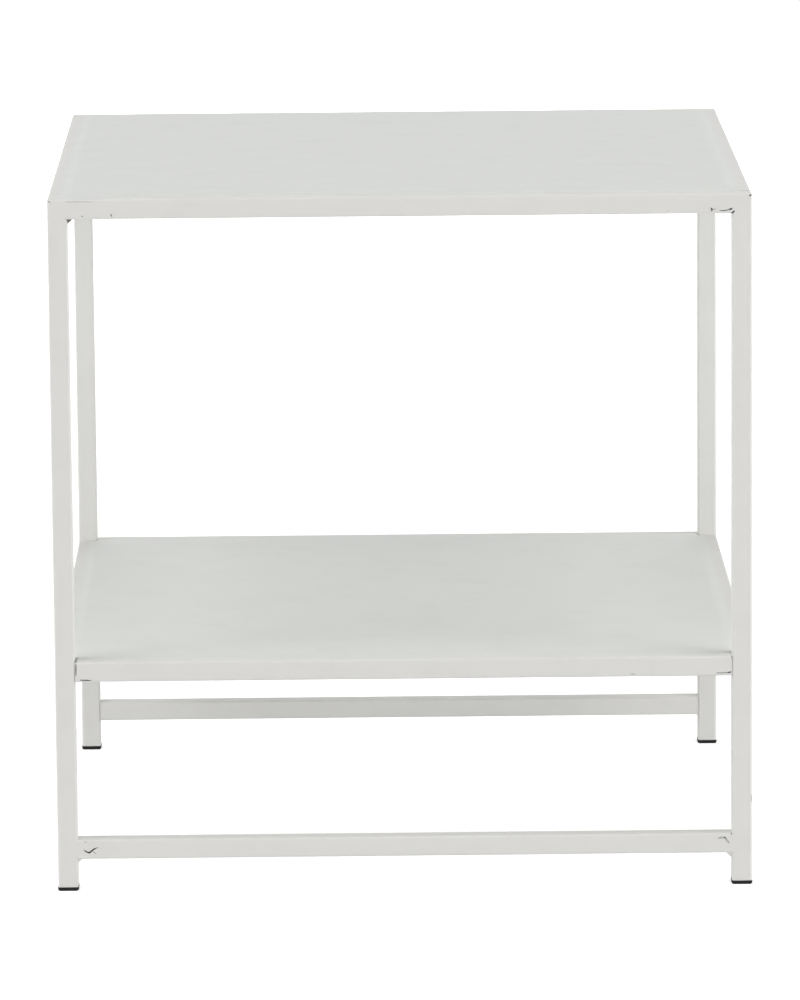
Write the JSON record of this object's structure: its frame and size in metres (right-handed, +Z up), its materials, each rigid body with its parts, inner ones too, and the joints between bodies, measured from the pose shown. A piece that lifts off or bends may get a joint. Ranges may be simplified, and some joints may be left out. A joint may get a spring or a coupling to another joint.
{
  "type": "side table with shelf",
  "caption": "Square open-frame side table in welded square steel tube, with a flat sheet-metal top, a low sheet-metal shelf and front and rear floor stretchers.",
  "frame": {"origin": "on the floor under the middle of the table", "axes": "+Z up; front (the side with its stretcher towards the viewer in the picture) is -Y; +X to the right"},
  "size_m": [0.4506, 0.4506, 0.453],
  "materials": {
    "white_powder_coat": "satin off-white powder coat on steel",
    "black_plastic": "matte moulded"
  },
  "bodies": {
    "root": {"leg_front_left": "white_powder_coat", "leg_front_right": "white_powder_coat", "leg_rear_left": "white_powder_coat", "leg_rear_right": "white_powder_coat", "leg_cap_front_left": "white_powder_coat", "leg_cap_front_right": "white_powder_coat", "leg_cap_rear_left": "white_powder_coat", "leg_cap_rear_right": "white_powder_coat", "top_rail_front": "white_powder_coat", "top_rail_rear": "white_powder_coat", "top_rail_left": "white_powder_coat", "top_rail_right": "white_powder_coat", "shelf_rail_front": "white_powder_coat", "shelf_rail_rear": "white_powder_coat", "shelf_rail_left": "white_powder_coat", "shelf_rail_right": "white_powder_coat", "stretcher_front": "white_powder_coat", "stretcher_rear": "white_powder_coat", "top_panel": "white_powder_coat", "shelf_panel": "white_powder_coat", "weld_beads_top_rails": "white_powder_coat", "weld_beads_shelf_rails": "white_powder_coat", "weld_beads_stretchers": "white_powder_coat", "weld_fill_top_joints": "white_powder_coat", "weld_fill_stretchers": "white_powder_coat", "weld_seams_top_panel": "white_powder_coat", "weld_seams_shelf_panel": "white_powder_coat", "weld_stitches_top_panel": "white_powder_coat", "weld_stitches_shelf_panel": "white_powder_coat", "foot_plug_front_left": "black_plastic", "foot_plug_front_right": "black_plastic", "foot_plug_rear_left": "black_plastic", "foot_plug_rear_right": "black_plastic"}
  },
  "joints": []
}
